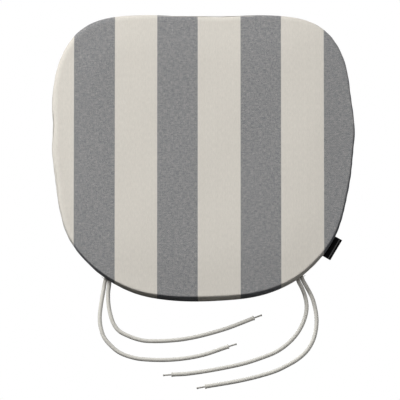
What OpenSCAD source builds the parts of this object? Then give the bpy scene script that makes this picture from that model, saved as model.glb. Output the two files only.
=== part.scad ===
// Chair seat pad: a striped, boxed cover with a zip underneath, around a foam core,
// with four tie cords sewn in pairs into the rear corners of the bottom seam.
// X is the pad's width, +Y points to the wide front edge, +Z is up.
// The origin is the centre of the underside.

/* [Pad] */
// Full width, half way between the front and the rear edge
mid_width = 397; // [360:1:440]
// Full depth, front edge to rear edge
depth = 385; // [350:1:420]
// How much wider the front is than the rear, as a share of the width
taper = 0.07; // [0:0.01:0.12]
// Roundness of the front corners across the width; a larger value is squarer
front_corner_x = 5.8; // [3:0.1:8]
// Roundness of the front corners along the depth
front_corner_y = 2.1; // [2:0.05:3]
// Roundness of the rear corners across the width
rear_corner_x = 2.5; // [2:0.05:4]
// Roundness of the rear corners along the depth
rear_corner_y = 2.75; // [2:0.05:4]
// Height of the side band's top edge, where the top panel begins
edge_height = 27; // [22:0.5:40]
// Rise of the top panel from its edge to its middle
crown = 3.5; // [0:0.5:8]
// How far the side band swells out between its two seams
side_bulge = 2; // [0:0.5:4]

/* [Cover] */
// Thickness of the cover with its backing
cover_t = 1.2; // [0.8:0.1:1.5]
// Thickness of the non-woven liner around the foam
liner_t = 0.4; // [0.3:0.1:0.6]
// Polar angle of each join between the front and the rear side band, below the X axis
band_join = 30; // [20:1:45]
// Diameter of a line of sewing thread
thread_d = 0.8; // [0.6:0.1:0.9]

/* [Zip] */
// Distance of the zip behind the middle of the pad
zip_back = 70; // [40:1:90]
// Length of the zip's chain
chain_length = 286; // [240:1.3:286]
// Length of one loop of the coil
coil_pitch = 1.3; // [1.2:0.1:1.6]
// Width of each tape
tape_w = 12.5; // [11:0.5:14]
// How far the slider travels
slider_travel = 275; // [200:1:275]
// Height of the channel that the zip lies in
channel_lift = 5.4; // [5:0.1:6]

/* [Ties] */
// Diameter of a tie cord
cord_d = 5.4; // [4:0.2:6]
// Diameter of the whipped cuff at the end of a cord
cuff_d = 6.4; // [5:0.2:7]
// Length of the cuff
cuff_l = 5; // [3:0.5:8]
// Diameter of the bare core that sticks out of the cuff
core_d = 2.2; // [1.5:0.1:3]
// Length of the bare core
core_l = 11; // [6:1:14]

/* [Label] */
// Width of the folded label along the seam
label_w = 31; // [20:1:40]
// How far the label stands out of the seam
label_out = 8; // [6:1:16]
// Polar angle at which the label is sewn in, below the X axis
label_place = 34.85; // [32:0.05:45]
// Direction that the label points, below the X axis
label_turn = 30.5; // [20:0.5:40]

/* [Hidden] */

$fn = 32;
half_w = mid_width / 2;
half_d = depth / 2;
around = 72;           // points in a ring around the pad
gap = 0.2;             // air between layers that only touch
far = 300;             // longer than the pad is wide or deep

// Heights and insets of the layers, from the outside in
panel_inset = side_bulge;                       // the seams lie inside the band's swell
band_low = cover_t + gap;
band_high = edge_height - cover_t - gap;
liner_inset = panel_inset + cover_t + 1.4;
liner_low = cover_t + 0.7;
liner_high = edge_height - cover_t - 0.9;
foam_inset = liner_inset + liner_t + 0.3;
foam_low = liner_low + liner_t + 0.3;
foam_high = liner_high - liner_t - 0.4;
thread_inset = panel_inset + cover_t + 0.1 + thread_d / 2;
thread_low = cover_t + 0.1 + thread_d / 2;
thread_high = edge_height - cover_t - 0.1 - thread_d / 2;

// Zip: heights are from the surface that the pad rests on
zip_y = -zip_back;
lip_half = 4.5;                                 // half the gap between the cover's folded lips
lip_run = 11.5;                                 // run of the cover's slope down to the underside
channel_half = 162;                             // the channel over the zip ends before the side seams
groove_half = 14;                               // half the flat top of the groove in the foam
groove_run = 12;
groove_lift = 7.1;
neck_half = 0.45;                               // half the gap between the two sides of the chain
coil_w = 2;
tooth_l = 0.9;
coil_t = 2.1;
tape_z = channel_lift + cover_t + 0.1;
tape_t = 0.6;
tape_l = chain_length + 30;
coil_z = tape_z - coil_t;
chain_from = -141;
chain_to = chain_from + chain_length;
stop_l = 5;
slider_x = chain_to - 5;
wing_t = 1;
outer_wing_z = coil_z - 0.4 - wing_t;
inner_wing_z = tape_z + tape_t + 0.3;
wing_half = 3.8;
wing_outline = [[-4.2, -3.3], [1.5, -wing_half], [3.2, -wing_half], [4.2, -2.8],
    [4.2, 2.8], [3.2, wing_half], [1.5, wing_half], [-4.2, 3.3]];
arch_half = 0.7;
arch_leg = 3.4;
pull_t = 0.9;
pull_z = outer_wing_z - 0.17 - pull_t / 2;      // height of the pull's hinge line
pull_w = 4.6;
pull_l = 21;
eye_l = 5.2;
rail_w = 1.2;

// Tie cords: hand-chosen routes on the surface that the pad rests on
cord_r = cord_d / 2;
cord_z = cord_r + 0.1;
route_left_outer = [[-128, -164], [-130.5, -178], [-133.5, -196], [-135, -212],
    [-133.5, -226], [-129, -239], [-120, -250], [-109, -259], [-94, -265], [-78, -268],
    [-51, -269], [-24, -267], [2, -262], [30, -252.5]];
route_left_inner = [[-122.5, -168], [-124, -180], [-123.5, -194], [-121, -208],
    [-116.5, -221], [-109, -230.5], [-98, -236.5], [-86, -241], [-73, -243.5], [-50, -243.5],
    [-24, -241], [2, -235.5], [28, -228], [46, -221.5], [63.5, -214.5]];
route_right_inner = [[127, -165], [131.5, -174], [135.5, -186], [137, -199], [134.5, -213],
    [129, -226], [121, -238], [110, -249], [97, -258], [82, -264.5], [57, -273], [31, -279],
    [4, -284], [-20, -287.5], [-36, -288.5]];
route_right_outer = [[132.5, -163], [137.5, -172], [144, -185], [148, -199], [150, -214],
    [149, -229], [145, -243.5], [137, -257], [125, -268], [110, -277], [94, -284.5],
    [69, -292], [43, -298], [8, -304]];
ties_left = 51.9;                               // polar angles of the cords' roots, below the X axis
ties_right = 51.2;
// Each cord's end rises a little, so that its thicker cuff clears the surface
end_rise = (cuff_d - cord_d) / 2;
core_droop = 8;                                 // slope of the bare core down to the surface
bead_d = core_d + 0.8;                          // knot at the end of the core

// --- the pad's outline ---------------------------------------------------------------

// Above 0 outside the outline, below 0 inside it
function outline_side(x, y) =
    let(m = y > 0 ? front_corner_x : rear_corner_x, n = y > 0 ? front_corner_y : rear_corner_y)
    pow(abs(x) / (half_w * (1 + taper * y / half_d)), m) + pow(abs(y) / half_d, n) - 1;

// Distance from the middle to the outline at a polar angle, found by halving
function outline_r(a, low = 100, high = 400, steps = 26) =
    let(mid = (low + high) / 2)
    steps == 0 ? mid
    : outline_side(mid * cos(a), mid * sin(a)) > 0 ? outline_r(a, low, mid, steps - 1)
    : outline_r(a, mid, high, steps - 1);

rim = [for (i = [0:around - 1]) outline_r(i * 360 / around)];

// A closed ring around the pad, inset from the outline and scaled towards the middle
function ring(inset, z, scale = 1) = [for (i = [0:around - 1])
    let(a = i * 360 / around, r = (rim[i] - inset) * scale) [r * cos(a), r * sin(a), z]];

function flat_ring(inset) = [for (p = ring(inset, 0)) [p[0], p[1]]];

// Rise of the top at a share f of the way out from the middle
function dome(f) = crown * (1 - pow(f, 10));

// Rise of the underside at a distance from the zip, with smooth slopes
function groove(d, half, run, lift) =
    d <= half ? lift : d >= half + run ? 0 : lift * (1 + cos(180 * (d - half) / run)) / 2;

// Swell of the side band between its seams
function swell(z) = side_bulge * (1 - pow((2 * z - band_low - band_high) / (band_high - band_low), 2));

// --- solids from rings ---------------------------------------------------------------

// Skins a list of equal closed rings. The ends are capped, or joined to each other.
module loft(rings, closed = false) {
    n = len(rings[0]);
    last = closed ? len(rings) : len(rings) - 1;
    sides = [for (i = [0:last - 1], j = [0:n - 1])
        let(a = i * n, b = ((i + 1) % len(rings)) * n, k = (j + 1) % n)
        each [[a + j, b + j, a + k], [a + k, b + j, b + k]]];
    caps = closed ? [] : [[for (j = [0:n - 1]) j],
        [for (j = [n - 1:-1:0]) (len(rings) - 1) * n + j]];
    polyhedron(points = [for (r = rings) each r], faces = concat(sides, caps), convexity = 6);
}

shares = [0.06, 0.4, 0.7, 0.84, 0.92, 0.96, 1];     // where the dome has rings, from the middle out

function dome_out(inset, z) = [for (f = shares) ring(inset, z + dome(f), f)];
function turned(list) = [for (i = [len(list) - 1:-1:0]) list[i]];

// A polyline's direction at point i, as a unit vector
function unit(v) = v / norm(v);
function heading(path, i) = unit(path[min(i + 1, len(path) - 1)] - path[max(i - 1, 0)]);

// A round tube along a path that is nowhere upright
module tube(path, r, sides = 8, closed = false) {
    n = len(path);
    loft([for (i = [0:n - 1])
        let(t = closed ? unit(path[(i + 1) % n] - path[(i + n - 1) % n]) : heading(path, i),
            side = unit(cross([0, 0, 1], t)), up = cross(t, side))
        [for (k = [0:sides - 1]) let(a = -360 * k / sides)
            path[i] + r * cos(a) * up + r * sin(a) * side]], closed);
}

// Points of a smooth curve through a route's own points
function curve_point(p0, p1, p2, p3, t) = 0.5 * (2 * p1 + (p2 - p0) * t
    + (2 * p0 - 5 * p1 + 4 * p2 - p3) * t * t + (3 * p1 - p0 - 3 * p2 + p3) * t * t * t);
function smooth_route(p, parts = 3) = [for (i = [0:len(p) - 2], k = [0:parts - 1])
    curve_point(p[max(i - 1, 0)], p[i], p[i + 1], p[min(i + 2, len(p) - 1)], k / parts),
    p[len(p) - 1]];
function lifted(route) = [for (i = [0:len(route) - 1])
    [route[i][0], route[i][1], cord_z + (i > len(route) - 3 ? end_rise : 0)]];

// The line of an underside piece as [y, z] points, outwards from the zip.
// side is 1 in front of the zip and -1 behind it; from is where the piece begins.
function underside_line(side, z, from, half, run, lift) = concat(
    [for (k = [0:8]) let(d = from + (half + run - from) * k / 8)
        [zip_y + side * d, z + groove(d, half, run, lift)]],
    [[zip_y + side * far, z]]);

module along_x(length, profile) rotate([90, 0, 90]) linear_extrude(height = length) polygon(profile);

// An underside piece, cut to the outline: the channel over the zip, a wall at each end of it
// and flat cloth from there out. half_l is half the channel's length, and inner is the y at
// which the wall and the flat cloth begin.
module underside(line, t, half_l, inner, inset) {
    z = line[len(line) - 1][1];
    outer = line[len(line) - 1][0];
    raised = [for (p = line) p + [0, t]];
    end_wall = concat([[inner, z], [inner, raised[0][1]]], raised, [[outer, z]]);
    intersection() {
        union() {
            translate([-half_l, 0, 0]) along_x(2 * half_l, concat(line, turned(raised)));
            for (x = [-half_l - t, half_l]) translate([x, 0, 0]) along_x(t, end_wall);
            for (x = [-far, half_l]) translate([x, min(inner, outer), z])
                cube([far - half_l, abs(outer - inner), t]);
        }
        linear_extrude(height = edge_height) polygon(flat_ring(inset));
    }
}

// --- filling --------------------------------------------------------------------------

module foam_core() {
    groove_line = [for (k = [-12:12]) let(d = (groove_half + groove_run) * k / 12)
        [zip_y + d, foam_low + groove(abs(d), groove_half, groove_run, groove_lift)]];
    color("lightyellow") difference() {
        loft(concat([ring(foam_inset, foam_low, 0.1), ring(foam_inset, foam_low)],
            turned(dome_out(foam_inset, foam_high))));
        rotate([90, 0, 90]) linear_extrude(height = 2 * far, center = true)
            polygon(concat(groove_line, [[zip_y + groove_half + groove_run, -1],
                [zip_y - groove_half - groove_run, -1]]));
    }
}

module foam_liner_top() color("white") loft(concat(
    dome_out(liner_inset + liner_t, liner_high - liner_t),
    [ring(liner_inset + liner_t, foam_low), ring(liner_inset, foam_low)],
    turned(dome_out(liner_inset, liner_high))));

module foam_liner_bottom() color("white") {
    front = underside_line(1, liner_low, 0, groove_half, groove_run, groove_lift);
    rear = underside_line(-1, liner_low, 0, groove_half, groove_run, groove_lift);
    line = concat(turned(rear), [for (i = [1:len(front) - 1]) front[i]]);
    underside(line, liner_t, channel_half + 2, -far, liner_inset);
}

// --- cover ----------------------------------------------------------------------------

module top_panel() color("gainsboro") loft(concat(
    dome_out(panel_inset, edge_height - cover_t),
    turned(dome_out(panel_inset, edge_height))));

module side_band(from, to) {
    levels = 6;
    steps = round((to - from) / 5);
    zs = [for (k = [0:levels]) band_low + (band_high - band_low) * k / levels];
    loft([for (i = [0:steps]) let(a = from + (to - from) * i / steps, r = outline_r(a))
        concat(
            [for (z = zs) let(q = r - side_bulge + swell(z)) [q * cos(a), q * sin(a), z]],
            [for (z = turned(zs)) let(q = r - side_bulge + swell(z) - cover_t)
                [q * cos(a), q * sin(a), z]])]);
}

module side_band_front() color("darkgray")
    side_band(-band_join + 0.05, 180 + band_join - 0.05);
module side_band_rear() color("dimgray") side_band(180 + band_join, 360 - band_join);

module bottom_panel(side) underside(
    underside_line(side, 0, lip_half, lip_half, lip_run, channel_lift),
    cover_t, channel_half, zip_y + side * gap / 2, panel_inset);
module bottom_panel_front() color("gainsboro") bottom_panel(1);
module bottom_panel_rear() color("silver") bottom_panel(-1);

module seam_thread(z) tube(ring(thread_inset, z), thread_d / 2, 6, closed = true);
module seam_thread_top() color("ivory") seam_thread(thread_high);
module seam_thread_bottom() color("ivory") seam_thread(thread_low);

// --- zip ------------------------------------------------------------------------------

// Draws the front half of something on the zip, or its mirror image behind the zip
module zip_half(side) translate([0, zip_y, 0]) scale([1, side, 1]) children();

module zip_tape(side) zip_half(side) translate([chain_from - 15, neck_half, tape_z])
    cube([tape_l, tape_w, tape_t]);
module zip_tape_front() color("whitesmoke") zip_tape(1);
module zip_tape_rear() color("whitesmoke") zip_tape(-1);

module zip_coil(side) {
    loops = floor(chain_length / coil_pitch);
    root = neck_half + tooth_l;
    teeth = [for (i = [0:loops - 1]) let(x = chain_from + i * coil_pitch)
        each [[x, root], [x, neck_half], [x + coil_pitch / 2, neck_half], [x + coil_pitch / 2, root]]];
    zip_half(side) translate([0, 0, coil_z]) linear_extrude(height = coil_t)
        polygon(concat(teeth, [[chain_to, root], [chain_to, neck_half + coil_w],
            [chain_from, neck_half + coil_w]]));
}
module zip_coil_front() color("white") zip_coil(1);
module zip_coil_rear() color("white") zip_coil(-1);

module zip_end_stop() color("silver")
    translate([chain_from - stop_l, zip_y - neck_half - coil_w - 0.2, coil_z])
    cube([stop_l, 2 * (neck_half + coil_w + 0.2), coil_t]);

module zip_top_stops() color("silver") for (side = [1, -1]) zip_half(side)
    translate([chain_to, neck_half, coil_z]) cube([stop_l / 2, coil_w + 0.2, coil_t]);

module zip_slider() color("darkgray") translate([slider_x, zip_y, 0]) {
    translate([0, 0, outer_wing_z]) linear_extrude(height = wing_t) polygon(wing_outline);
    translate([0, 0, inner_wing_z]) linear_extrude(height = wing_t) polygon(wing_outline);
    // neck between the two sides of the chain
    translate([0.5, -neck_half / 2, outer_wing_z])
        cube([2.5, neck_half, inner_wing_z + wing_t - outer_wing_z]);
    // flanges that keep the coils in
    intersection() {
        translate([0, 0, outer_wing_z]) linear_extrude(height = tape_z - 0.3 - outer_wing_z)
            polygon(wing_outline);
        for (side = [1, -1]) scale([1, side, 1]) translate([-5, neck_half + coil_w + 0.25, 0])
            cube([10, 2, 10]);
    }
    // arch that holds the pull
    for (x = [-arch_leg, arch_leg - 0.8]) translate([x, -arch_half, pull_z - pull_t / 2 - 0.85])
        cube([0.8, 2 * arch_half, outer_wing_z + 0.2 - pull_z + pull_t / 2 + 0.85]);
    translate([-arch_leg, -arch_half, pull_z - pull_t / 2 - 0.85])
        cube([2 * arch_leg, 2 * arch_half, 0.65]);
}

module zip_pull() color("darkgray") translate([slider_x, zip_y, pull_z]) {
    rotate([90, 0, 0]) cylinder(r = pull_t / 2, h = pull_w, center = true);
    for (side = [1, -1]) scale([1, side, 1]) translate([-eye_l - 0.2, pull_w / 2 - rail_w, -pull_t / 2])
        cube([eye_l + 0.2, rail_w, pull_t]);
    translate([-pull_l + pull_w / 2, -pull_w / 2, -pull_t / 2])
        cube([pull_l - eye_l - pull_w / 2, pull_w, pull_t]);
    translate([-pull_l + pull_w / 2, 0, 0]) cylinder(r = pull_w / 2, h = pull_t, center = true);
}

// A line of topstitching that holds the tape, just inside the cover
module zip_stitching(side) zip_half(side)
    translate([chain_from - 15, tape_w - 3, tape_z - thread_d / 2 - 0.1]) rotate([0, 90, 0])
    cylinder(d = thread_d, h = tape_l, $fn = 16);
module zip_stitching_front() color("ivory") zip_stitching(1);
module zip_stitching_rear() color("ivory") zip_stitching(-1);

// --- label and ties -------------------------------------------------------------------

// Folded woven label: two plies joined by a round fold at the outer edge
module side_label() {
    ply = 0.5;
    slot = 0.3;
    t = 2 * ply + slot;
    start = outline_r(-label_place) + 0.4;
    color("black") translate([start * cos(label_place), -start * sin(label_place), band_low + 0.4])
        rotate([90, 0, -label_turn]) translate([0, 0, -label_w / 2])
        linear_extrude(height = label_w) difference() {
            union() {
                square([label_out - t / 2, t]);
                translate([label_out - t / 2, t / 2]) circle(d = t);
            }
            translate([-1, ply]) square([label_out - t / 2 + 1, slot]);
        }
}

// A bar of dense stitches on the side band, over the roots of a pair of cords
module tie_bartack(a) {
    bar = [14, 0.8, 2];
    r = outline_r(a) + 0.5;
    color("ivory") translate([r * cos(a), r * sin(a), 2 * cord_z + 0.6])
        rotate([0, 0, a + 90]) translate([-bar[0] / 2, -bar[1], 0]) cube(bar);
}
module tie_bartack_left() tie_bartack(-180 + ties_left);
module tie_bartack_right() tie_bartack(-ties_right);

module tie(route) color("lightgray") tube(smooth_route(lifted(route)), cord_r);

// Carries its children to the end of a cord, with +X along the cord
module at_end(route) {
    path = smooth_route(lifted(route));
    last = len(path) - 1;
    way = heading(path, last);
    translate(path[last]) rotate([0, 0, atan2(way[1], way[0])]) children();
}
module tie_cuff(route) color("whitesmoke") at_end(route) translate([gap / 2, 0, 0])
    rotate([0, 90, 0]) cylinder(d = cuff_d, h = cuff_l);
module tie_core(route) color("silver") at_end(route) translate([cuff_l + 1.5 * gap, 0, 0])
    rotate([0, 90 + core_droop, 0]) {
        cylinder(d = core_d, h = core_l - bead_d / 2);
        translate([0, 0, core_l - bead_d / 2]) sphere(d = bead_d);
    }

module tie_left_outer() tie(route_left_outer);
module tie_left_inner() tie(route_left_inner);
module tie_right_inner() tie(route_right_inner);
module tie_right_outer() tie(route_right_outer);
module tie_cuff_left_outer() tie_cuff(route_left_outer);
module tie_cuff_left_inner() tie_cuff(route_left_inner);
module tie_cuff_right_inner() tie_cuff(route_right_inner);
module tie_cuff_right_outer() tie_cuff(route_right_outer);
module tie_core_left_outer() tie_core(route_left_outer);
module tie_core_left_inner() tie_core(route_left_inner);
module tie_core_right_inner() tie_core(route_right_inner);
module tie_core_right_outer() tie_core(route_right_outer);

foam_core();
foam_liner_top();
foam_liner_bottom();
top_panel();
side_band_front();
side_band_rear();
bottom_panel_front();
bottom_panel_rear();
seam_thread_top();
seam_thread_bottom();
zip_tape_front();
zip_tape_rear();
zip_coil_front();
zip_coil_rear();
zip_end_stop();
zip_top_stops();
zip_slider();
zip_pull();
zip_stitching_front();
zip_stitching_rear();
side_label();
tie_bartack_left();
tie_bartack_right();
tie_left_outer();
tie_left_inner();
tie_right_inner();
tie_right_outer();
tie_cuff_left_outer();
tie_cuff_left_inner();
tie_cuff_right_inner();
tie_cuff_right_outer();
tie_core_left_outer();
tie_core_left_inner();
tie_core_right_inner();
tie_core_right_outer();
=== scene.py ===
"""Looks for the chair seat pad: striped woven cover, braided tie cords, label and zip.

Everything is in metres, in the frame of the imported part: origin at the centre of the underside,
+X across the pad, +Y to the wide front edge, +Z up. The ties are on the -Y side.
"""

import math

import bmesh
import bpy
import numpy as np
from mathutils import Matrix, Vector


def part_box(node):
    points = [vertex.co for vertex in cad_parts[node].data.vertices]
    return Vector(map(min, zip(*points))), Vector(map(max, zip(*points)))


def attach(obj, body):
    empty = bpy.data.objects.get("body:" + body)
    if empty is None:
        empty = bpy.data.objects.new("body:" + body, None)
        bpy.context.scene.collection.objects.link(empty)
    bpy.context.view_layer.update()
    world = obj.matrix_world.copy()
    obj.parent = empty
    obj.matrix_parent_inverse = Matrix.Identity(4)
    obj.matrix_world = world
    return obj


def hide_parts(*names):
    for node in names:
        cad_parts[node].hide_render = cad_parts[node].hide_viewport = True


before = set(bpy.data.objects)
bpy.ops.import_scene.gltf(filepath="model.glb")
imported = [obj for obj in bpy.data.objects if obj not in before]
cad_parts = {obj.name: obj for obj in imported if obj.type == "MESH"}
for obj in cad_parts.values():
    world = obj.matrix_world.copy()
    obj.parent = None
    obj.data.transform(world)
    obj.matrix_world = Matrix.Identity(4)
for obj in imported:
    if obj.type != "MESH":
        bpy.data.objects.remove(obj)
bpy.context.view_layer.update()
MM = 0.001
rng = np.random.RandomState(11)

# --- the pad's outline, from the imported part's own size ------------------------------------

HALF_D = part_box("side_band_front")[1].y         # half the depth, at the swell of the side band
WIDEST = 1.0079                                 # greatest width over the width half way back
HALF_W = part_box("side_band_front")[1].x / WIDEST
TAPER = 0.07
FRONT_X, FRONT_Y = 5.8, 2.1                     # roundness of the front corners
REAR_X, REAR_Y = 2.5, 2.75                      # roundness of the rear corners
MEAN_R = 0.2                                    # about the mean distance from middle to outline
CORNER_D = 0.41                                 # about twice that distance at the rear corners
EDGE_Z = 27 * MM                                # where the top panel begins
SEAM_IN = 1.8 * MM                              # the seams pull the cloth in this far
SEAM_LOW_Z = 1.7 * MM
ZIP_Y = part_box("zip_coil_front")[0].y - 0.45 * MM
ZIP_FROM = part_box("zip_tape_front")[0].x
ZIP_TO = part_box("zip_tape_front")[1].x
LIP = 4.5 * MM                                  # half the gap between the cover's lips at the zip
LIP_RUN = 11.5 * MM
LIP_LIFT = 5.4 * MM
# Where the made-up pad strays from its pattern: polar angle, spread in degrees, distance out
STRAYS = [(10, 6, 1.4), (24, 7, -1.8), (84, 9, -2.6), (99, 6, -1.6), (149, 9, 1.2),
          (168, 6, -2.4), (190, 9, -1.5), (211, 8, 1.8), (245, 8, 0.8), (280, 9, -1.0),
          (316, 6, -0.8), (343, 9, -1.6)]


def outline(angle):
    """Distance from the middle to the pad's outline at each polar angle, found by halving."""
    c, s = np.cos(angle), np.sin(angle)
    m = np.where(s > 0, FRONT_X, REAR_X)
    n = np.where(s > 0, FRONT_Y, REAR_Y)
    low, high = np.full_like(c, 0.1), np.full_like(c, 0.4)
    for _ in range(30):
        mid = (low + high) / 2
        x, y = mid * c, mid * s
        side = HALF_W * (1 + TAPER * y / HALF_D)
        out = (np.abs(x) / side) ** m + (np.abs(y) / HALF_D) ** n > 1
        low, high = np.where(out, low, mid), np.where(out, mid, high)
    r = (low + high) / 2
    degrees = np.degrees(angle) % 360
    for centre, spread, out_mm in STRAYS:
        away = (degrees - centre + 180) % 360 - 180
        r = r + out_mm * MM * np.exp(-((away / spread) ** 2))
    return r


def ease(t):
    t = np.clip(t, 0, 1)
    return t * t * (3 - 2 * t)


# --- making objects --------------------------------------------------------------------------

def make_object(name, points, faces, smooth=True):
    mesh = bpy.data.meshes.new(name)
    mesh.from_pydata([tuple(map(float, p)) for p in points], [], [tuple(f) for f in faces])
    mesh.validate()
    obj = bpy.data.objects.new(name, mesh)
    bpy.context.collection.objects.link(obj)
    if smooth:
        mesh.shade_smooth()
    return obj


def join_parts(parts):
    """Several (points, faces) as one."""
    points, faces, start = [], [], 0
    for p, f in parts:
        points.append(np.asarray(p))
        faces += [[i + start for i in face] for face in f]
        start += len(p)
    return np.vstack(points), faces


def frames_along(path):
    """Sideways and upward unit vectors at each point of a path that is never upright."""
    t = np.gradient(path, axis=0)
    t /= np.linalg.norm(t, axis=1)[:, None]
    side = np.cross([0, 0, 1.0], t)
    side /= np.linalg.norm(side, axis=1)[:, None]
    return side, np.cross(t, side)


def tube(path, radius, sides=8):
    """Points and faces of a tube. radius(angles, i) gives the radii around the ring at point i."""
    path = np.asarray(path, dtype=float)
    side, up = frames_along(path)
    a = np.linspace(0, 2 * np.pi, sides, endpoint=False)
    rings = []
    for i, p in enumerate(path):
        r = radius(a, i) if callable(radius) else np.full(sides, radius)
        rings.append(p + (r * np.cos(a))[:, None] * side[i] + (r * np.sin(a))[:, None] * up[i])
    points = np.vstack(rings)
    faces = []
    for i in range(len(path) - 1):
        for k in range(sides):
            j = (k + 1) % sides
            faces.append([i * sides + k, i * sides + j, (i + 1) * sides + j, (i + 1) * sides + k])
    faces.append(list(range(sides))[::-1])
    faces.append([(len(path) - 1) * sides + k for k in range(sides)])
    return points, faces


def spline(points, step):
    """Evenly spaced points, about step apart, of a smooth curve through a route's points."""
    p = np.asarray(points, dtype=float)
    padded = np.vstack([2 * p[0] - p[1], p, 2 * p[-1] - p[-2]])
    fine = []
    for i in range(len(p) - 1):
        p0, p1, p2, p3 = padded[i:i + 4]
        for t in np.linspace(0, 1, 24, endpoint=False):
            fine.append(0.5 * (2 * p1 + (p2 - p0) * t + (2 * p0 - 5 * p1 + 4 * p2 - p3) * t ** 2
                               + (3 * p1 - p0 - 3 * p2 + p3) * t ** 3))
    fine = np.array(fine + [p[-1]])
    run = np.concatenate([[0], np.cumsum(np.linalg.norm(np.diff(fine, axis=0), axis=1))])
    at = np.linspace(0, run[-1], max(3, int(run[-1] / step) + 1))
    return np.stack([np.interp(at, run, fine[:, k]) for k in range(3)], axis=1), run[-1]


# --- camera ----------------------------------------------------------------------------------

LENS = 1000                                     # mm: the pad is seen almost without perspective
VIEW_W = 527 * MM                               # width of the picture at the pad
AIM = Vector((-3.2 * MM, -53.6 * MM, 0))
ELEVATION = math.radians(78)


def make_camera():
    data = bpy.data.cameras.new("camera")
    data.lens = LENS
    data.sensor_width = 36
    data.clip_end = 100
    cam = bpy.data.objects.new("camera", data)
    bpy.context.collection.objects.link(cam)
    back = Vector((0, -math.cos(ELEVATION), math.sin(ELEVATION)))
    cam.location = AIM + back * (VIEW_W * LENS / data.sensor_width)
    cam.rotation_euler = (-back).to_track_quat("-Z", "Y").to_euler()
    bpy.context.scene.camera = cam


make_camera()

# --- tie cords: first among the pieces, along the same routes as in the part ---------------------

CORD_D = 5.4 * MM
CUFF_D = 6.4 * MM
CUFF_L = 5 * MM
CORE_D = 2.2 * MM
CORE_L = 11 * MM
CORE_DROOP = math.radians(8)
BRAID_SIDES = 6                                 # strands each way around the cord
BRAID_PITCH = 2.3 * MM                          # length of one braid diamond along the cord
ROUTES = {
    "left_outer": [(-126, -157), (-128, -164), (-130.5, -178), (-133.5, -196), (-135, -212),
                   (-133.5, -226), (-129, -239), (-120, -250), (-109, -259), (-94, -265),
                   (-78, -268), (-51, -269), (-24, -267), (2, -262), (30, -252.5)],
    "left_inner": [(-122, -159), (-122.5, -167), (-124, -180), (-123.5, -194), (-121, -208),
                   (-116.5, -221), (-109, -230.5), (-98, -236.5), (-86, -241), (-73, -243.5),
                   (-50, -243.5), (-24, -241), (2, -235.5), (28, -228), (46, -221.5),
                   (63.5, -214.5)],
    "right_inner": [(125, -159), (127, -165), (131.5, -174), (135.5, -186), (137, -199),
                    (134.5, -213), (129, -226), (121, -238), (110, -249), (97, -258),
                    (82, -264.5), (57, -273), (31, -279), (4, -284), (-20, -287.5),
                    (-36, -288.5)],
    "right_outer": [(130, -157), (132.5, -163), (137.5, -172), (144, -185), (148, -199),
                    (150, -214), (149, -229), (145, -243.5), (137, -257), (125, -268),
                    (110, -277), (94, -284.5), (69, -292), (43, -298), (8, -304)],
}


def braid(around, along):
    """Height, 0 to 1, of a braid's surface: two sets of strands that pass over and under."""
    u = BRAID_SIDES * around / (2 * np.pi) + along / BRAID_PITCH
    v = BRAID_SIDES * around / (2 * np.pi) - along / BRAID_PITCH
    fu, fv = np.sin(np.pi * (u % 1)), np.sin(np.pi * (v % 1))
    over = (np.floor(u) + np.floor(v)) % 2 == 0
    return np.where(over, fu ** 0.7 * (0.55 + 0.45 * fv), fv ** 0.7 * (0.55 + 0.45 * fu))


def cord_surface(path, start=0.0, radius=None):
    """A braided tube along a path. radius(run) is its mean radius at a distance along it."""
    run = np.concatenate([[0], np.cumsum(np.linalg.norm(np.diff(path, axis=0), axis=1))])
    mean = radius or (lambda s: CORD_D / 2)

    def ring(a, i):
        return mean(run[i]) * (0.90 + 0.12 * braid(a, start + run[i]))

    return tube(path, ring, sides=42)


def make_cord(name):
    """One tie cord with its cuff and bare core."""
    z = (CORD_D / 2 + 0.1 * MM) * np.ones(len(ROUTES[name]))
    z[-2:] += (CUFF_D - CORD_D) / 2
    route = np.column_stack([np.array(ROUTES[name]) * MM, z])
    path, length = spline(route, 0.42 * MM)
    cord = make_object(f"braid_{name}", *cord_surface(path))
    end = path[-1]
    way = path[-1] - path[-8]
    way[2] = 0
    way /= np.linalg.norm(way)
    # the cuff: the braid's own end, flared and turned in
    steps = np.linspace(0, 1, 16)
    cuff_path = end + np.outer(steps * CUFF_L, way)
    profile = [0, 0.45, 0.7, 0.86, 0.95, 1]
    radii = np.array([CORD_D / 2, CORD_D / 2, 2.95 * MM, CUFF_D / 2, 3.0 * MM, 1.5 * MM])
    cuff = make_object(f"braid_end_{name}", *cord_surface(
        cuff_path, length, lambda s: np.interp(s / CUFF_L, profile, radii)))
    # the bare core: two plies twisted together, knotted into a bead at the end
    slope = way * math.cos(CORE_DROOP) - np.array([0, 0, math.sin(CORE_DROOP)])
    steps = np.linspace(-0.1, 1, 60)
    core_path = end + way * CUFF_L + np.outer(steps * CORE_L, slope)

    def core_ring(a, i):
        s = steps[i] * CORE_L
        ply = 0.82 + 0.18 * np.abs(np.cos(a + 2 * np.pi * s / (5.5 * MM)))
        bead = np.exp(-((steps[i] - 0.93) / 0.055) ** 2)
        close = np.sqrt(max(0.02, 1 - max(0, (steps[i] - 0.94) / 0.06) ** 2))
        return (CORE_D / 2 * ply + 0.45 * MM * bead) * close

    core = make_object(f"strand_{name}", *tube(core_path, core_ring, sides=16))
    for piece, slot, node in ((cord, "tie_cord", "tie_"), (cuff, "cord_cuff", "tie_cuff_"),
                              (core, "cord_core", "tie_core_")):
        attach(piece, "pad")
        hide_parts(node + name)
    return cord, cuff, core


cords = [make_cord(name) for name in ROUTES]

# --- materials -------------------------------------------------------------------------------

STRIPE_PITCH = 109.6 * MM                       # from one grey stripe to the next
GREY_W = 53.6 * MM                              # width of a grey stripe
STRIPE_FROM = -169.1 * MM                       # left edge of the first grey stripe
YARN = 0.62 * MM                                # distance from one yarn to the next


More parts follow.
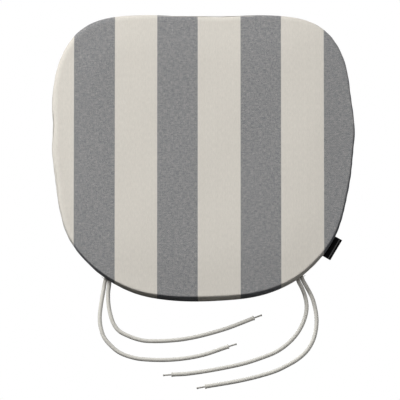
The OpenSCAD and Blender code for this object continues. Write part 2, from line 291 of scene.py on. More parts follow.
class Shader:
    """A material's node tree, with short ways to add nodes. Inputs are numbers or sockets."""

    def __init__(self, name):
        self.material = bpy.data.materials.new(name)
        self.material.use_nodes = True
        self.tree = self.material.node_tree
        self.bsdf = self.tree.nodes["Principled BSDF"]

    def node(self, kind, inputs=(), **settings):
        n = self.tree.nodes.new(kind)
        for key, value in settings.items():
            setattr(n, key, value)
        for key, value in dict(inputs).items():
            self.put(n.inputs[key], value)
        return n

    def put(self, socket, value):
        if isinstance(value, bpy.types.NodeSocket):
            self.tree.links.new(value, socket)
        else:
            socket.default_value = value

    def math(self, operation, a, b=0.0, c=0.0, clamp=False):
        n = self.node("ShaderNodeMath", {0: a, 1: b, 2: c}, operation=operation)
        n.use_clamp = clamp
        return n.outputs[0]

    def add(self, a, b):
        return self.math("ADD", a, b)

    def times(self, a, b):
        return self.math("MULTIPLY", a, b)

    def position(self):
        xyz = self.node("ShaderNodeSeparateXYZ")
        where = self.node("ShaderNodeTexCoord").outputs["Object"]
        self.put(xyz.inputs[0], where)
        return where, xyz.outputs[0], xyz.outputs[1], xyz.outputs[2]

    def point(self, x, y, z=0.0):
        return self.node("ShaderNodeCombineXYZ", {0: x, 1: y, 2: z}).outputs[0]

    def noise(self, where, scale, detail=2.0, rough=0.5):
        n = self.node("ShaderNodeTexNoise", {"Vector": where, "Scale": scale,
                                             "Detail": detail, "Roughness": rough})
        return n.outputs[0]

    def random(self, x, y=0.0):
        """White noise, the same for one whole yarn."""
        n = self.node("ShaderNodeTexWhiteNoise", {"Vector": self.point(x, y)},
                      noise_dimensions="3D")
        return n.outputs[0]

    def spread(self, value, low, high):
        """0 to 1 made low to high."""
        return self.math("MULTIPLY_ADD", value, high - low, low)

    def mix(self, share, a, b):
        """Colour a made into colour b."""
        n = self.node("ShaderNodeMix", {0: share}, data_type="RGBA")
        for socket, colour in ((n.inputs[6], a), (n.inputs[7], b)):
            self.put(socket, (*colour, 1.0) if isinstance(colour, tuple) else colour)
        return n.outputs[2]

    def tint(self, colour, amount):
        """A colour made lighter or darker by a factor."""
        n = self.node("ShaderNodeVectorMath", operation="SCALE")
        self.put(n.inputs[0], colour)
        self.put(n.inputs["Scale"], amount)
        return n.outputs[0]

    def bump(self, height, distance, strength=1.0):
        n = self.node("ShaderNodeBump", {"Strength": strength, "Distance": distance,
                                         "Height": height})
        self.put(self.bsdf.inputs["Normal"], n.outputs[0])

    def finish(self, colour, roughness=0.9, sheen=0.0, specular=0.3, metallic=0.0):
        self.put(self.bsdf.inputs["Base Color"], colour)
        self.put(self.bsdf.inputs["Roughness"], roughness)
        self.bsdf.inputs["Specular IOR Level"].default_value = specular
        self.bsdf.inputs["Metallic"].default_value = metallic
        if sheen:
            self.bsdf.inputs["Sheen Weight"].default_value = sheen
            self.bsdf.inputs["Sheen Roughness"].default_value = 0.5
        return self.material


def weave(sh, u, v, pitch):
    """Plain weave over u and v: which yarn is on top (0 to 1), height, and each yarn's number."""
    wu, wv = sh.times(u, 1 / pitch), sh.times(v, 1 / pitch)
    iu, iv = sh.math("FLOOR", wu), sh.math("FLOOR", wv)
    fu, fv = sh.math("SUBTRACT", wu, iu), sh.math("SUBTRACT", wv, iv)
    round_u = sh.math("SINE", sh.times(fu, math.pi))
    round_v = sh.math("SINE", sh.times(fv, math.pi))
    parity = sh.math("FLOORED_MODULO", sh.add(iu, iv), 2.0)
    high_u = sh.times(round_u, sh.spread(round_v, 0.5, 1.0))
    high_v = sh.times(round_v, sh.spread(round_u, 0.5, 1.0))
    height = sh.add(sh.times(parity, high_u), sh.times(sh.math("SUBTRACT", 1.0, parity), high_v))
    return parity, height, iu, iv


LIGHT_YARN = (0.655, 0.621, 0.561)
LIGHT_WEFT = (0.605, 0.576, 0.524)
GREY_YARN = (0.117, 0.127, 0.147)


def striped_cloth(name, on_shaded_band):
    """The cover's cloth: light weft, warp in wide light and grey stripes; on the side band the grey
    stripes are darkened as painted shade.
    """
    sh = Shader(name)
    where, x, y, z = sh.position()
    if on_shaded_band:
        u = sh.times(sh.math("ARCTAN2", y, x), MEAN_R)
        v = z
    else:
        u, v = x, y
    over, height, iu, iv = weave(sh, u, v, YARN)
    # stripes run front to rear on every piece; each warp yarn is one colour
    yarn_x = x if on_shaded_band else sh.times(sh.add(iu, 0.5), YARN)
    across = sh.add(yarn_x, -STRIPE_FROM)
    grey = sh.math("LESS_THAN", sh.math("FLOORED_MODULO", across, STRIPE_PITCH), GREY_W)
    warp = sh.mix(grey, LIGHT_YARN, GREY_YARN)
    # slubs: yarns differ from each other and swell here and there along their length
    slub_u = sh.noise(sh.point(sh.times(u, 620.0), sh.times(v, 190.0)), 1.0, 1.0)
    slub_v = sh.noise(sh.point(sh.times(u, 190.0), sh.times(v, 620.0)), 1.0, 1.0)
    warp = sh.tint(warp, sh.times(sh.spread(sh.random(iu), 0.985, 1.015),
                                  sh.spread(slub_u, 0.91, 1.09)))
    weft = sh.tint(LIGHT_WEFT, sh.times(sh.spread(sh.random(iv, 7.0), 0.985, 1.015),
                                        sh.spread(slub_v, 0.91, 1.09)))
    # the warp covers most of the weft, less where the weft is thick; on the band it covers more,
    # painted shade that darkens the band's grey stripes
    thick = sh.add(sh.times(sh.add(slub_u, -0.5), 0.37), sh.times(sh.add(slub_v, -0.5), -0.37))
    least = 0.88 if on_shaded_band else 0.56
    cover = sh.math("ADD", sh.spread(over, least, least + 0.36), thick, clamp=True)
    colour = sh.mix(cover, weft, warp)
    blotch = sh.noise(where, 130.0, 3.0, 0.6)
    # the blotches are the cloth's own uneven tone; the yarns are painted darker down in the hollows
    # between their crowns: painted shade
    shade = sh.times(sh.spread(blotch, 0.97, 1.03), sh.spread(height, 0.90, 1.05))
    colour = sh.tint(colour, shade)
    sh.bump(sh.add(height, sh.times(slub_u, 0.3)), 0.13 * MM, 0.7)
    return sh.finish(colour, roughness=sh.spread(blotch, 0.86, 0.96), sheen=0.12, specular=0.2)


def yarn_cloth(name, colour, pitch):
    """A plain-coloured woven cloth."""
    sh = Shader(name)
    where, x, y, z = sh.position()
    _, height, iu, _ = weave(sh, x, sh.add(y, z), pitch)
    tone = sh.times(sh.spread(sh.noise(where, 350.0, 3.0), 0.86, 1.14),
                    sh.spread(sh.random(iu, 3.0), 0.94, 1.06))
    sh.bump(height, 0.1 * MM)
    # random tone, and the yarns painted darker in the hollows between their crowns: painted shade
    return sh.finish(sh.tint(colour, sh.times(tone, sh.spread(height, 0.8, 1.05))),
                     roughness=0.9, sheen=0.1, specular=0.25)


def fibre(name, colour, scale):
    """Spun fibre, such as cord and sewing thread: fine streaks in all directions."""
    sh = Shader(name)
    where, _, _, _ = sh.position()
    fine = sh.noise(where, scale, 3.0, 0.6)
    broad = sh.noise(where, 160.0, 2.0)
    sh.bump(fine, 0.12 * MM)
    tone = sh.times(sh.spread(fine, 0.84, 1.16), sh.spread(broad, 0.94, 1.06))
    return sh.finish(sh.tint(colour, tone), roughness=0.85, sheen=0.1, specular=0.25)


LABEL_TURN = -math.radians(30.5)                # the way the label faces
LABEL_W, LABEL_OUT = 31 * MM, 8 * MM            # what shows of it
LABEL_IN = 4 * MM                               # what is sewn in behind the band
LABEL_MID = sum(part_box("side_label"), Vector()) / 2


def label_satin():
    """Black woven satin with a faint grey streak along its fold, a painted sheen: no mark or
    lettering.
    """
    sh = Shader("label_satin")
    where, x, y, _ = sh.position()
    c, s = math.cos(LABEL_TURN), math.sin(LABEL_TURN)
    along = sh.add(sh.times(x, s), sh.times(y, -c))
    out = sh.add(sh.times(x, c), sh.times(y, s))
    ribs = sh.math("SINE", sh.times(along, 2 * math.pi / (0.32 * MM)))
    floats = sh.math("SINE", sh.times(out, 2 * math.pi / (0.5 * MM)))
    fine = sh.noise(where, 1800.0, 2.0)
    sh.bump(sh.add(sh.times(ribs, 0.5), sh.times(floats, 0.25)), 0.05 * MM)
    black, grey = (0.003, 0.003, 0.0035), (0.2, 0.2, 0.2)
    # painted sheen: a grey streak 1.6 mm wide along the fold, where the satin catches the light
    middle = sh.add(out, -0.8 * MM - LABEL_MID.x * c - LABEL_MID.y * s)
    line = sh.math("LESS_THAN", sh.math("ABSOLUTE", middle), 0.8 * MM)
    colour = sh.mix(sh.times(line, fine), black, grey)
    return sh.finish(sh.tint(colour, sh.spread(fine, 0.7, 1.5)), roughness=0.6, specular=0.12)


def zip_paint():
    """Zinc slider with a worn pearl finish."""
    sh = Shader("zip_paint")
    where, _, _, _ = sh.position()
    wear = sh.noise(where, 900.0, 4.0, 0.6)
    sh.bump(sh.noise(where, 2400.0, 2.0), 0.02 * MM)
    return sh.finish(sh.mix(wear, (0.50, 0.50, 0.50), (0.66, 0.66, 0.65)), metallic=0.9,
                     roughness=sh.spread(wear, 0.25, 0.45), specular=0.5)


def coil_plastic():
    """Slightly glossy filament."""
    sh = Shader("coil_plastic")
    where, _, _, _ = sh.position()
    streak = sh.noise(where, 1500.0, 2.0)
    sh.bump(streak, 0.02 * MM)
    return sh.finish(sh.mix(streak, (0.66, 0.65, 0.61), (0.78, 0.77, 0.73)), roughness=0.35,
                     specular=0.5)


def foam_cells():
    """Open cells in yellowish foam."""
    sh = Shader("foam_cells")
    where, _, _, _ = sh.position()
    cells = sh.node("ShaderNodeTexVoronoi", {"Vector": where, "Scale": 1400.0}).outputs[0]
    sh.bump(cells, 0.4 * MM)
    # the cells' hollows are painted darker than their walls: painted shade
    return sh.finish(sh.mix(cells, (0.70, 0.63, 0.42), (0.90, 0.84, 0.64)), roughness=0.95,
                     specular=0.15)


PANEL_CLOTH = striped_cloth("striped_cloth", on_shaded_band=False)
# the side band's copy of the cloth: its grey stripes darker, as painted shade
SHADED_BAND_CLOTH = striped_cloth("striped_cloth_band_shaded", on_shaded_band=True)
CORD_FIBRE = fibre("cord_fibre", (0.58, 0.565, 0.52), 2600.0)
CORE_FIBRE = fibre("core_fibre", (0.36, 0.35, 0.32), 2600.0)
THREAD = fibre("sewing_thread", (0.64, 0.62, 0.57), 3500.0)
TAPE_CLOTH = yarn_cloth("tape_cloth", (0.66, 0.65, 0.61), 0.45 * MM)
LINER_FELT = fibre("liner_felt", (0.78, 0.78, 0.77), 900.0)
LABEL_SATIN = label_satin()
ZIP_PAINT = zip_paint()
COIL_PLASTIC = coil_plastic()
FOAM_CELLS = foam_cells()


def paint(obj, material):
    obj.data.materials.clear()
    obj.data.materials.append(material)


def place(obj, material, body="pad", stands_for=()):
    """Gives a new piece its material and body, and hides the CAD nodes it stands for."""
    paint(obj, material)
    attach(obj, body)
    if stands_for:
        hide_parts(*stands_for)
    return obj


for cord, cuff, core in cords:
    paint(cord, CORD_FIBRE)
    paint(cuff, CORD_FIBRE)
    paint(core, CORE_FIBRE)

# --- the cover: one closed skin, swollen by cloth simulation and cut apart at its seams ----------

RIM_STEPS = np.array([0, 0.8, 1.8, 3.2, 5.2, 8.0, 11.6]) * MM   # rows of points in from a seam
CELL = 4.2 * MM
BAND_ROWS = 9
ROLL = 4.0 * MM                                 # the underside rolls over this far in from its seam
CROWN = 2.0 * MM
BULGE_START = 1.2 * MM
LEANS = [(272, 24, 1.3), (221, 15, -1.1)]       # polar angle, spread, mm in at the band's top
CAP = 1.5 * MM                                  # most that the simulation may move a point


def grid_marks():
    """Marks from -1 to 1, close together at both ends."""
    mean = 0.195
    ends = 1 - RIM_STEPS / mean
    inner = np.linspace(ends[-1], 0, int(round(ends[-1] * mean / CELL)) + 1)[1:]
    half = np.concatenate([ends, inner])
    return np.concatenate([-half[:-1], half[::-1]])


MARKS = grid_marks()
N = len(MARKS)


def grid_ring():
    """Indices of the grid's border, counter-clockwise from its lower left corner."""
    last = N - 1
    rear = [i for i in range(last)]
    right = [j * N + last for j in range(last)]
    front = [last * N + i for i in range(last, 0, -1)]
    left = [j * N for j in range(last, 0, -1)]
    return rear + right + front + left


def cover_skin():
    """Points, faces, each face's part, and which points a seam holds."""
    u, v = np.meshgrid(MARKS, MARKS)
    u, v = u.ravel(), v.ravel()
    share = np.maximum(np.abs(u), np.abs(v))
    angle = np.arctan2(v, u)
    r = outline(angle)
    seam_r = r - SEAM_IN
    x, y = share * seam_r * np.cos(angle), share * seam_r * np.sin(angle)
    in_from_seam = (1 - share) * seam_r
    # the top rolls over softly along the front and left, tightly along the right and rear
    soft = ease((0.8 * np.sin(angle) - 0.6 * np.cos(angle) + 0.3) / 0.8)
    width = (1.2 + 5.8 * soft) * MM
    drop = (0.5 + 1.8 * soft) * MM * np.clip(1 - in_from_seam / width, 0, 1) ** 2
    top_z = EDGE_Z - drop + CROWN * (1 - share ** 5)
    roll = np.sqrt(1 - (1 - np.clip(in_from_seam / ROLL, 0, 1)) ** 2)
    low_z = SEAM_LOW_Z * (1 - roll)
    low = np.column_stack([x, y, low_z])
    # in places the band leans in or out at the top
    lean = sum(in_mm * MM * np.exp(-(((np.degrees(angle) % 360) - at) / spread) ** 2)
               for at, spread, in_mm in LEANS) * share ** 6
    x, y = x - lean * np.cos(angle), y - lean * np.sin(angle)
    top = np.column_stack([x, y, top_z])
    ring = grid_ring()
    ring_angle = angle[ring]
    top_r, low_r = np.hypot(x, y)[ring], seam_r[ring]
    rows = []
    for k in range(1, BAND_ROWS):
        t = k / BAND_ROWS
        out = BULGE_START * np.sin(np.pi * t) ** 0.7
        rr = top_r + (low_r - top_r) * t + out
        z = top_z[ring] + (SEAM_LOW_Z - top_z[ring]) * t
        rows.append(np.column_stack([rr * np.cos(ring_angle), rr * np.sin(ring_angle), z]))
    points = np.vstack([top, low] + rows)
    n2, m = N * N, len(ring)
    levels = [ring] + [[2 * n2 + k * m + i for i in range(m)] for k in range(BAND_ROWS - 1)]
    levels.append([n2 + i for i in ring])
    faces, parts = [], []
    for j in range(N - 1):
        for i in range(N - 1):
            a = j * N + i
            faces.append([a, a + 1, a + N + 1, a + N])
            parts.append("top_panel")
            faces.append([n2 + a, n2 + a + N, n2 + a + N + 1, n2 + a + 1])
            parts.append("bottom_panel")
    degrees = np.degrees(ring_angle) % 360
    rear_from, rear_to = 210, 330
    for up, down in zip(levels[:-1], levels[1:]):
        for i in range(m):
            j = (i + 1) % m
            faces.append([up[i], down[i], down[j], up[j]])
            rear = rear_from <= degrees[i] < rear_to
            parts.append("side_band_rear" if rear else "side_band_front")
    held = set(ring) | {n2 + i for i in ring}
    return points, faces, parts, held


def swell(points, faces, held):
    """Blows the cover up a little with Blender's cloth, held at its seams, by at most CAP."""
    obj = make_object("cover_sim", points, faces)
    group = obj.vertex_groups.new(name="held")
    group.add([int(i) for i in held], 1.0, "REPLACE")
    cloth = obj.modifiers.new("cloth", "CLOTH")
    s = cloth.settings
    s.quality = 6
    s.mass = 0.3
    s.tension_stiffness = s.compression_stiffness = 20
    s.shear_stiffness = 10
    s.bending_stiffness = 0.8
    s.vertex_group_mass = "held"
    s.use_pressure = True
    s.uniform_pressure_force = 4
    s.effector_weights.gravity = 0
    cloth.collision_settings.use_collision = False
    cloth.collision_settings.use_self_collision = False
    scene = bpy.context.scene
    for number in range(1, 21):
        scene.frame_set(number)
    ready = obj.evaluated_get(bpy.context.evaluated_depsgraph_get())
    moved = np.array([v.co for v in ready.data.vertices])
    scene.frame_set(1)
    bpy.data.objects.remove(obj)
    step = moved - points
    length = np.linalg.norm(step, axis=1)[:, None] + 1e-9
    # less and less towards the seams
    x, y = points[:, 0], points[:, 1]
    from_seam = outline(np.arctan2(y, x)) - SEAM_IN - np.hypot(x, y)
    share = np.where(from_seam > 0, 0.08 + 0.92 * ease(from_seam / (60 * MM)), 0.3)[:, None]
    return points + step * (CAP * np.tanh(length / CAP) / length) * share


points, faces, parts, held = cover_skin()
points = swell(points, faces, held)


def gather(points):
    """Small puckers where the seams draw the cloth in, and the cloth's own unevenness."""
    x, y, z = points.T
    angle = np.arctan2(y, x)
    r = np.hypot(x, y)
    in_from_edge = outline(angle) - SEAM_IN - r
    run = angle * MEAN_R
    phase = 2.2 * np.sin(3 * angle + 0.4) + 1.5 * np.sin(7 * angle + 1.9) + 0.9 * np.sin(17 * angle)
    ripple = np.sin(2 * np.pi * run / (13 * MM) + phase) * (0.6 + 0.4 * np.sin(5 * angle + 1.1))
    fades = np.exp(-np.clip(in_from_edge - 3 * MM, 0, None) / (6 * MM))
    near = fades * ease(in_from_edge / (2.5 * MM))
    flat = z > EDGE_Z - 2 * MM
    out = points.copy()
    out[:, 2] += np.where(flat, 0.28 * MM * ripple * near, 0)
    # long, low waves over the middle of the top
    wave = (np.sin(x * 31 + 1.3) * np.sin(y * 23 + 0.6) + 0.6 * np.sin(x * 53 - y * 41 + 2.0))
    out[:, 2] += np.where(flat, 0.22 * MM * wave * ease(in_from_edge / (30 * MM)), 0)
    # the band puckers a little between its seams
    band = (z > 3 * MM) & (z < EDGE_Z - 2.5 * MM) & (in_from_edge < 0)
    lean = np.sin(2 * np.pi * run / (21 * MM) + 1.7 * phase + z * 90)
    push = np.where(band, 0.22 * MM * lean * np.sin(np.pi * np.clip(z / EDGE_Z, 0, 1)), 0)
    out[:, 0] += push * np.cos(angle)
    out[:, 1] += push * np.sin(angle)
    return out


points = gather(points)
points[:, 2] = np.maximum(points[:, 2], 0.05 * MM)


def part_of_cover(name):
    """One part of the cover as (points, faces), with only its own points."""
    own = [f for f, part in zip(faces, parts) if part == name]
    used = sorted({i for f in own for i in f})
    renumber = {old: new for new, old in enumerate(used)}
    return points[used], [[renumber[i] for i in f] for f in own]


def sew_up(obj, thickness):
    """Smooths a piece of cloth once and gives it its thickness, inwards."""
    smooth = obj.modifiers.new("smooth", "SUBSURF")
    smooth.levels = smooth.render_levels = 1
    smooth.boundary_smooth = "PRESERVE_CORNERS"
    thick = obj.modifiers.new("thickness", "SOLIDIFY")
    thick.thickness = thickness
    thick.offset = -1
    return obj


CLOTH_T = 0.9 * MM
UNDER_T = 1.1 * MM                              # cloth of the underside
LINER_T = 0.4 * MM
top_panel = make_object("cover_top_panel", *part_of_cover("top_panel"))
place(sew_up(top_panel, CLOTH_T), PANEL_CLOTH, stands_for=["top_panel"])
for part in ("side_band_front", "side_band_rear"):
    band = make_object("cover_" + part, *part_of_cover(part))
    place(sew_up(band, CLOTH_T), SHADED_BAND_CLOTH, stands_for=[part])


def past_zip(x):
    """How far x is past the nearer end of the zip; negative along it."""
    return np.maximum(ZIP_FROM - x, x - ZIP_TO)


def channel(dy, x):
    """Rise of the underside at a distance from the zip."""
    rise = np.where(dy <= LIP, LIP_LIFT,
                    LIP_LIFT * (1 + np.cos(np.pi * np.clip((dy - LIP) / LIP_RUN, 0, 1))) / 2)
    return rise * (1 - 0.8 * ease((past_zip(x) - 4 * MM) / (15 * MM)))


def lips_closed(x):
    """0 along the zip, 1 past its ends, where the parts of the underside are sewn together."""
    return ease(1 + past_zip(x) / (11 * MM))


def underside_part(side):
    """The front (side 1) or rear (side -1) part of the underside, cut at the zip."""
    obj = make_object("cut", *part_of_cover("bottom_panel"))
    bm = bmesh.new()
    bm.from_mesh(obj.data)
    for dy in (LIP, LIP + 1.2 * MM, LIP + 3 * MM, LIP + 5.5 * MM, LIP + 8 * MM, LIP + 11 * MM):
        bmesh.ops.bisect_plane(bm, geom=bm.verts[:] + bm.edges[:] + bm.faces[:], dist=1e-6,
                               plane_co=(0, ZIP_Y + side * dy, 0), plane_no=(0, 1, 0))
    extra = [f for f in bm.faces if side * (f.calc_center_median().y - ZIP_Y) < LIP]
    bmesh.ops.delete(bm, geom=extra, context="FACES")
    bm.to_mesh(obj.data)
    bm.free()
    at = np.array([v.co for v in obj.data.vertices])
    x, y = at[:, 0], at[:, 1]
    dy = side * (y - ZIP_Y)
    shift = lips_closed(x) * (LIP - 0.25 * MM) * np.clip(1 - (dy - LIP) / (22 * MM), 0, 1)
    edge = ease((outline(np.arctan2(y, x)) - np.hypot(x, y) - SEAM_IN) / (8 * MM))
    at[:, 2] += channel(dy, x) * edge
    at[:, 1] -= side * shift
    obj.data.vertices.foreach_set("co", at.ravel())
    obj.data.shade_smooth()
    return obj


for side, part in ((1, "bottom_panel_front"), (-1, "bottom_panel_rear")):
    panel = underside_part(side)
    panel.name = "cover_" + part
    place(sew_up(panel, UNDER_T), PANEL_CLOTH, stands_for=[part])


def liner_under():
    """The liner over the underside, raised over the zip and lowered again past its ends."""
    points, faces = part_of_cover("bottom_panel")
    x, y, z = points.T
    r = np.hypot(x, y)
    dy = np.abs(y - ZIP_Y)
    over_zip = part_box("foam_liner_bottom")[1].z - LINER_T
    tunnel = over_zip * (1 - ease((dy - 14 * MM) / (12 * MM))) * channel(0, x) / LIP_LIFT
    edge = ease((outline(np.arctan2(y, x)) - r - SEAM_IN) / (8 * MM))
    z = np.maximum(z + 1.3 * MM + channel(dy, x) * edge, tunnel * edge)
    shrink = 1 - 2.2 * MM / np.maximum(r, 20 * MM)
    return np.column_stack([x * shrink, y * shrink, z]), faces


liner = make_object("liner_under", *liner_under())
thick = liner.modifiers.new("thickness", "SOLIDIFY")
thick.thickness = LINER_T
place(liner, LINER_FELT, stands_for=["foam_liner_bottom"])

# --- zip -------------------------------------------------------------------------------------

COIL_LOW, COIL_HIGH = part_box("zip_coil_front")
COIL_PITCH = 1.3 * MM


def coil(side):
    """One side of the chain: a coiled filament whose loops reach just past the middle."""
    loops = int((COIL_HIGH.x - COIL_LOW.x) / COIL_PITCH)
    turn = np.linspace(0, 2 * np.pi * loops, loops * 12)
    wire = 0.3 * MM
    reach = COIL_HIGH.y - ZIP_Y - wire
    mid_z = (COIL_LOW.z + COIL_HIGH.z) / 2
    half_z = (COIL_HIGH.z - COIL_LOW.z) / 2 - wire
    squash = np.sign(np.cos(turn)) * np.abs(np.cos(turn)) ** 0.7
    y = reach / 2 - 0.05 * MM + (reach / 2 + 0.05 * MM) * squash
    x = COIL_LOW.x + wire + turn / (2 * np.pi) * COIL_PITCH + (COIL_PITCH / 2 if side < 0 else 0)
    x = np.minimum(x, COIL_HIGH.x - wire)
    z = mid_z + half_z * np.sin(turn)
    path = np.column_stack([x, ZIP_Y + side * y, z])
    t = np.gradient(path, axis=0)
    t /= np.linalg.norm(t, axis=1)[:, None]
    inward = np.cross(t, [1.0, 0, 0])
    inward /= np.linalg.norm(inward, axis=1)[:, None]
    other = np.cross(t, inward)
    a = np.linspace(0, 2 * np.pi, 6, endpoint=False)
    ring = path[:, None, :] + wire * (np.cos(a)[None, :, None] * inward[:, None, :]
                                      + np.sin(a)[None, :, None] * other[:, None, :])
    n = len(path)
    body = [[i * 6 + k, i * 6 + (k + 1) % 6, (i + 1) * 6 + (k + 1) % 6, (i + 1) * 6 + k]
            for i in range(n - 1) for k in range(6)]
    body += [list(range(6))[::-1], [(n - 1) * 6 + k for k in range(6)]]
    return ring.reshape(-1, 3), body


def tape(node):
    """A zip tape: a thin strip with a thicker woven edge at each side."""
    low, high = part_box(node)
    xs = np.linspace(low.x - 3 * MM, high.x + 3 * MM, 160)
    ts = np.linspace(0, 1, 15)
    thick = (high.z - low.z) / 2 * (0.72 + 0.28 * (np.abs(ts - 0.5) * 2) ** 6)
    mid = (low.z + high.z) / 2
    ys = low.y + (high.y - low.y) * ts
    profile = np.vstack([np.column_stack([ys, mid - thick]),
                         np.column_stack([ys, mid + thick])[::-1]])
    m = len(profile)
    pts = np.array([[x, y, z + 0.05 * MM * math.sin(x * 210 + y * 300)] for x in xs
                    for y, z in profile])
    f = [[i * m + k, (i + 1) * m + k, (i + 1) * m + (k + 1) % m, i * m + (k + 1) % m]
         for i in range(len(xs) - 1) for k in range(m)]
    f += [list(range(m)), [(len(xs) - 1) * m + k for k in range(m)][::-1]]
    return pts, f


for side, part in ((1, "front"), (-1, "rear")):
    place(make_object("coil_" + part, *coil(side)), COIL_PLASTIC,
          stands_for=["zip_coil_" + part])
    place(make_object("tape_" + part, *tape("zip_tape_" + part)), TAPE_CLOTH,
          stands_for=["zip_tape_" + part])


def capsule(a, b, radius, sides=8):
    """A short stitch from a to b, thickest in the middle."""
    path = np.linspace(a, b, 7)
    size = np.sqrt(np.clip(1 - np.linspace(-1, 1, 7) ** 4, 0.05, 1))
    return tube(path, lambda angles, i: np.full(len(angles), radius * size[i]), sides)


def zip_stitches(side):
    """Topstitching through the underside and the tape, along one side of the zip."""
    from_zip = 8.0 * MM
    pitch, length = 3.4 * MM, 2.7 * MM
    count = int((ZIP_TO - ZIP_FROM) / pitch)
    made = []
    for i in range(count):
        x = ZIP_FROM + pitch * (i + 0.5) - length / 2
        y = ZIP_Y + side * (from_zip + 0.12 * MM * rng.randn())
        z = float(channel(abs(y - ZIP_Y), x)) - 0.05 * MM
        made.append(capsule(np.array([x, y, z]), np.array([x + length, y, z]), 0.28 * MM))
    return join_parts(made)


for side, part in ((1, "front"), (-1, "rear")):
    place(make_object("stitches_zip_" + part, *zip_stitches(side)), THREAD,
          stands_for=["zip_stitching_" + part])


def bartack(side):
    """Close zigzag stitches over the roots of a pair of cords."""
    low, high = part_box("tie_bartack_" + side)
    centre = (low + high) / 2
    roots = np.array(ROUTES[side + "_outer"][0]) + np.array(ROUTES[side + "_inner"][0])
    angle = math.atan2(roots[1], roots[0])
    reach = math.hypot(centre.x, centre.y)
    along = np.array([-math.sin(angle), math.cos(angle), 0])
    out = np.array([math.cos(angle), math.sin(angle), 0])
    middle = reach * out + np.array([0, 0, centre.z])
    count, length, height = 22, 13 * MM, 0.8 * MM
    made = []
    for i in range(count):
        s = (i / (count - 1) - 0.5) * length
        bow = -s * s / CORNER_D
        up = height if i % 2 else -height
        a = middle + along * s + out * bow + np.array([0, 0, up])
        b = middle + along * (s + length / count) + out * bow - np.array([0, 0, up])
        made.append(capsule(a, b, 0.33 * MM, 6))
    return join_parts(made)


for pair in ("left", "right"):
    place(make_object("stitches_" + pair, *bartack(pair)), THREAD,
          stands_for=["tie_bartack_" + pair])

# --- label -----------------------------------------------------------------------------------


def label():
    """A folded woven label: two plies that part a little, joined by a round fold."""
    centre = np.array(LABEL_MID)
    out = np.array([math.cos(LABEL_TURN), math.sin(LABEL_TURN), 0])
    along = np.array([-out[1], out[0], 0])
    root = centre - out * (LABEL_OUT / 2 + LABEL_IN)
    ply, gap = 0.42 * MM, 0.30 * MM
    centre_line = []
    length = LABEL_OUT + LABEL_IN
    reach = length - 0.4 * MM
    for t in np.linspace(0, 1, 14):
        centre_line.append((t * reach, (gap + ply) / 2 * (0.6 + 0.4 * math.sin(math.pi * t))))
    for a in np.linspace(90, -90, 9)[1:-1]:
        centre_line.append((reach + 0.36 * MM * math.cos(math.radians(a)),
                            (gap + ply) / 2 * 0.6 * math.sin(math.radians(a))))
    for t in np.linspace(1, 0, 14):
        centre_line.append((t * reach, -(gap + ply) / 2 * (0.6 + 0.4 * math.sin(math.pi * t))))
    line = np.array(centre_line)
    tangent = np.gradient(line, axis=0)
    tangent /= np.linalg.norm(tangent, axis=1)[:, None]
    normal = np.column_stack([-tangent[:, 1], tangent[:, 0]])
    outer, inner = line + normal * ply / 2, line - normal * ply / 2
    profile = np.vstack([outer, inner[::-1]])
    ws = np.linspace(-0.5, 0.5, 31) * LABEL_W
    m = len(profile)
    pts = []
    for w in ws:
        curl = 0.35 * MM * math.sin(w * 130 + 0.5)
        for o, h in profile:
            lift = (curl + 0.5 * MM) * (o / length) ** 2
            pts.append(root + out * o + along * w + np.array([0, 0, h + lift]))
    f = [[i * m + k, i * m + (k + 1) % m, (i + 1) * m + (k + 1) % m, (i + 1) * m + k]
         for i in range(len(ws) - 1) for k in range(m)]
    f += [list(range(m))[::-1], [(len(ws) - 1) * m + k for k in range(m)]]
    return pts, f


place(make_object("folded_label", *label()), LABEL_SATIN, stands_for=["side_label"])

# --- CAD nodes that stay: their shapes are right, so they only get edges and materials -----------

KEPT = {"foam_core": FOAM_CELLS, "foam_liner_top": LINER_FELT,
        "seam_thread_top": THREAD, "seam_thread_bottom": THREAD}
ZIP_METAL = ("zip_end_stop", "zip_top_stops", "zip_slider", "zip_pull")
for node, material in KEPT.items():
    paint(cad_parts[node], material)
for node in ZIP_METAL:
    paint(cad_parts[node], ZIP_PAINT)
    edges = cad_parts[node].modifiers.new("soft_edges", "BEVEL")
    edges.width = 0.18 * MM
    edges.segments = 3
    edges.limit_method = "ANGLE"
    edges.angle_limit = math.radians(40)

# --- stage and light ---------------------------------------------------------------------------


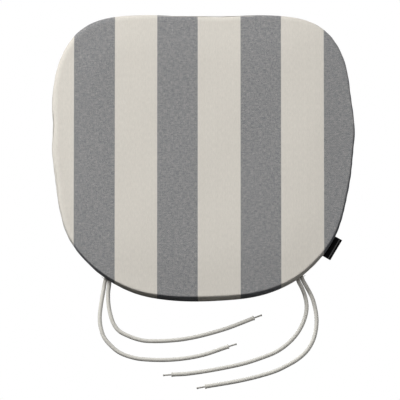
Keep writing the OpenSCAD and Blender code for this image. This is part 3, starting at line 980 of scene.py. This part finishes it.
def make_floor():
    """A plain pale floor that throws little light back up at the pad's sides."""
    size = 30
    floor = make_object("floor", [(-size, -size, -0.2 * MM), (size, -size, -0.2 * MM),
                                  (size, size, -0.2 * MM), (-size, size, -0.2 * MM)],
                        [[0, 1, 2, 3]], smooth=False)
    material = bpy.data.materials.new("pale_floor")
    material.use_nodes = True
    tree = material.node_tree
    tree.nodes.clear()
    out = tree.nodes.new("ShaderNodeOutputMaterial")
    mix = tree.nodes.new("ShaderNodeMixShader")
    seen = tree.nodes.new("ShaderNodeEmission")
    seen.inputs[0].default_value = (1, 1, 1, 1)
    seen.inputs[1].default_value = 1.0
    lit = tree.nodes.new("ShaderNodeBsdfDiffuse")
    lit.inputs[0].default_value = (0.08, 0.08, 0.08, 1)
    path = tree.nodes.new("ShaderNodeLightPath")
    tree.links.new(path.outputs["Is Camera Ray"], mix.inputs[0])
    tree.links.new(lit.outputs[0], mix.inputs[1])
    tree.links.new(seen.outputs[0], mix.inputs[2])
    tree.links.new(mix.outputs[0], out.inputs[0])
    paint(floor, material)


def make_world():
    """Even, dim light from all round; white where the camera sees it."""
    world = bpy.data.worlds.new("studio")
    bpy.context.scene.world = world
    world.use_nodes = True
    tree = world.node_tree
    dim = tree.nodes["Background"]
    dim.inputs[0].default_value = (1, 1, 1, 1)
    dim.inputs[1].default_value = 0.035
    bright = tree.nodes.new("ShaderNodeBackground")
    bright.inputs[1].default_value = 1.0
    mix = tree.nodes.new("ShaderNodeMixShader")
    path = tree.nodes.new("ShaderNodeLightPath")
    tree.links.new(path.outputs["Is Camera Ray"], mix.inputs[0])
    tree.links.new(dim.outputs[0], mix.inputs[1])
    tree.links.new(bright.outputs[0], mix.inputs[2])
    tree.links.new(mix.outputs[0], tree.nodes["World Output"].inputs[0])


def make_softbox(name, place_at, size, energy):
    """A square softbox that faces the middle of the pad."""
    data = bpy.data.lights.new(name, "AREA")
    data.shape = "SQUARE"
    data.size = size
    data.energy = energy
    light = bpy.data.objects.new(name, data)
    bpy.context.collection.objects.link(light)
    light.location = place_at
    light.rotation_euler = (-Vector(place_at)).to_track_quat("-Z", "Y").to_euler()
    light.visible_camera = False


make_floor()
make_world()
make_softbox("key", (-3.0, 2.77, 2.36), 2.57, 278)
make_softbox("overhead", (-0.6, 0.56, 4.65), 2.57, 82)
make_softbox("fill", (3.0, 0.0, 1.2), 1.5, 20)
bpy.context.scene.view_settings.view_transform = "Standard"
